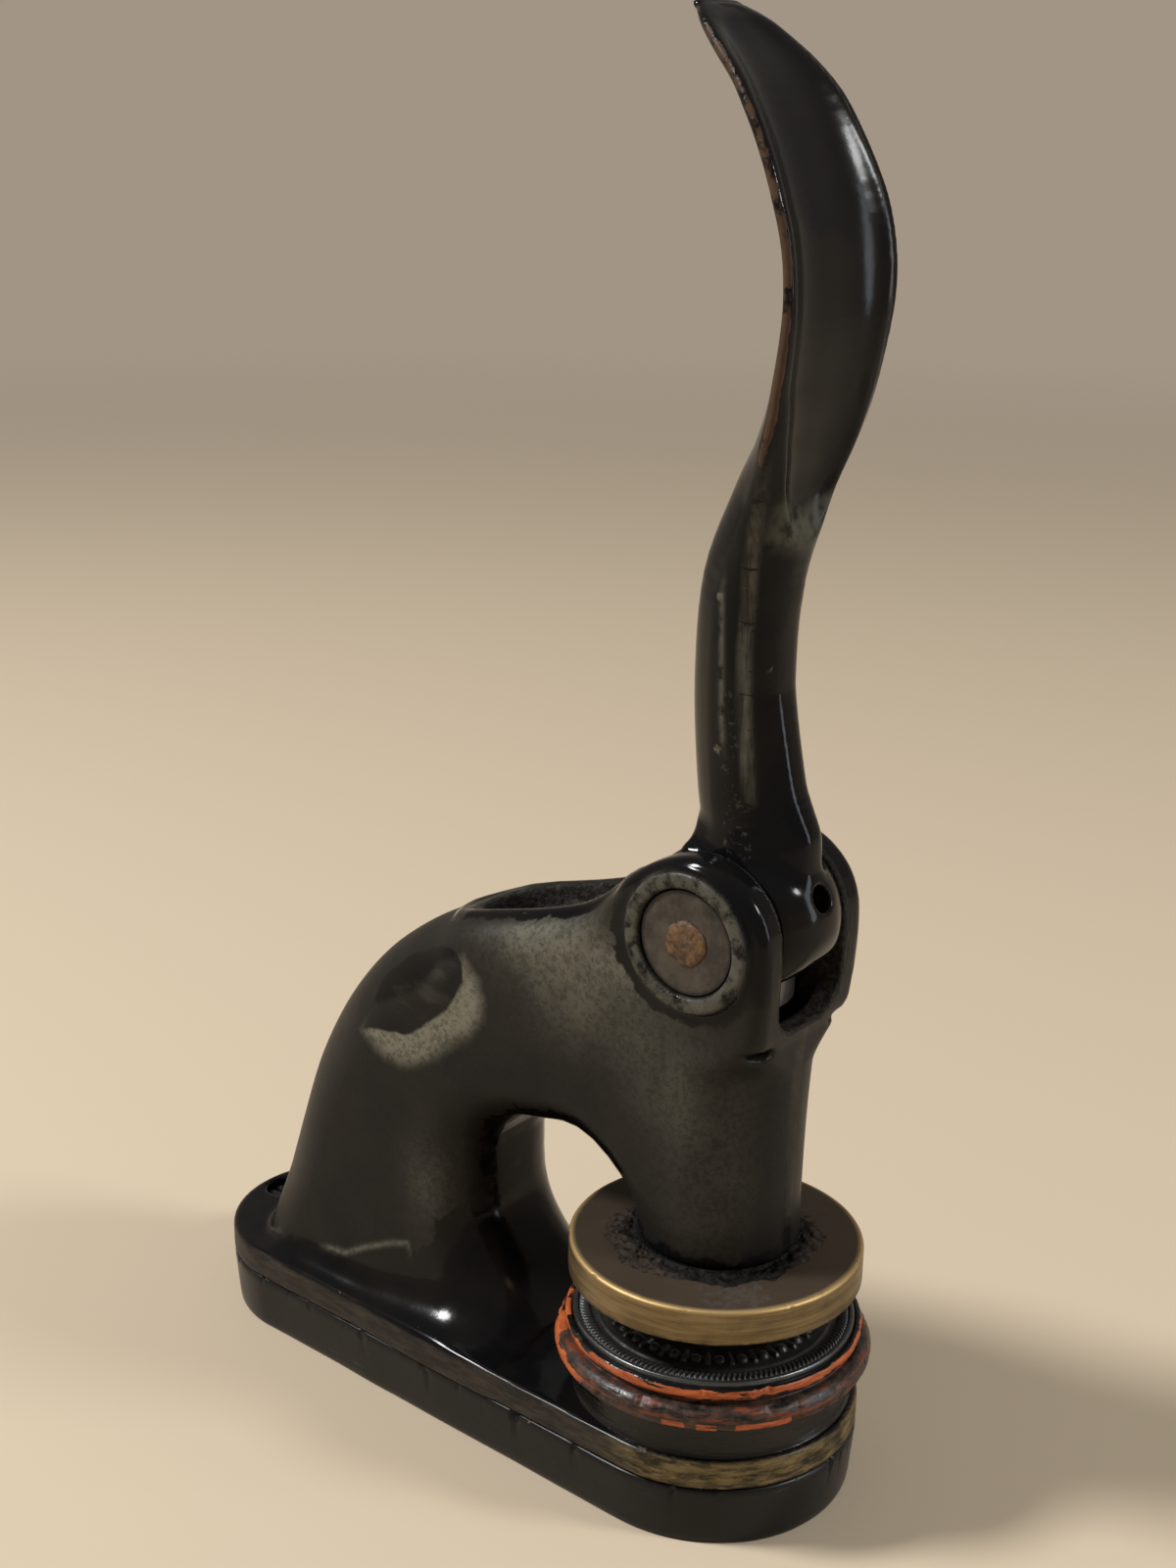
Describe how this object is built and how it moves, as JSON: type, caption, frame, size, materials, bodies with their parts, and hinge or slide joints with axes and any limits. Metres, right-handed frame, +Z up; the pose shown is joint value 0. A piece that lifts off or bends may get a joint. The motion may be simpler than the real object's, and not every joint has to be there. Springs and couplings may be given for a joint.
{
  "type": "seal embosser",
  "caption": "Cast-iron desk seal press: a tall lever pushes a ram with a round die onto a second die on the foot, with an open throat for the paper.",
  "frame": {"origin": "on the ram's axis, at the plinth's underside", "axes": "+Z up; front (dies, blade of the lever) towards -Y; lever hinge along X; symmetric about X = 0"},
  "size_m": [0.0484, 0.1222, 0.2147],
  "materials": {
    "black_japan": "gloss black japan on cast iron, worn at edges",
    "black_wood": "satin black paint on hardwood, finely scratched",
    "die_brass": "turned brass, brown patina on top, bright edge",
    "die_steel": "dark cut die with a bright rim",
    "plain_steel": "ground steel, oiled",
    "washer_steel": "dull steel with brown stains",
    "rusty_steel": "steel with orange rust",
    "dark_screw": "dark steel screw",
    "buffer_leather": "hardened black leather"
  },
  "bodies": {
    "base": {"plinth": "black_wood", "frame": "black_japan", "lower_die": "die_steel", "lower_die_screw": "plain_steel", "lower_die_pin": "plain_steel", "rear_plinth_screw": "dark_screw", "front_plinth_screws": "dark_screw", "spring_seat": "plain_steel", "return_spring": "plain_steel"},
    "lever_arm": {"lever": "black_japan", "pivot_pin": "rusty_steel", "hub_set_screw": "rusty_steel", "pivot_washer_left": "washer_steel", "pivot_washer_right": "washer_steel"},
    "ram_slider": {"ram": "plain_steel", "tappet": "plain_steel", "tappet_pin": "plain_steel", "buffer_washer": "buffer_leather", "upper_die": "die_brass", "upper_die_pin": "plain_steel", "die_shank": "plain_steel"}
  },
  "joints": [
    {"name": "lever_swing", "type": "hinge", "parent": "base", "child": "lever_arm", "pos_m": [0, -0.0022, 0.0914], "axis": [1, 0, 0], "range_deg": [0, 65]},
    {"name": "ram_slide", "type": "slide", "parent": "base", "child": "ram_slider", "axis": [0, 0, -1], "range_m": [0, 0.0062], "stiffness_N_per_m": 2500, "springref_m": -0.004, "deforming": ["return_spring"]}
  ],
  "couplings": [
    {"joint": "ram_slide", "follows": "lever_swing", "m_per_rad": 0.005377}
  ]
}
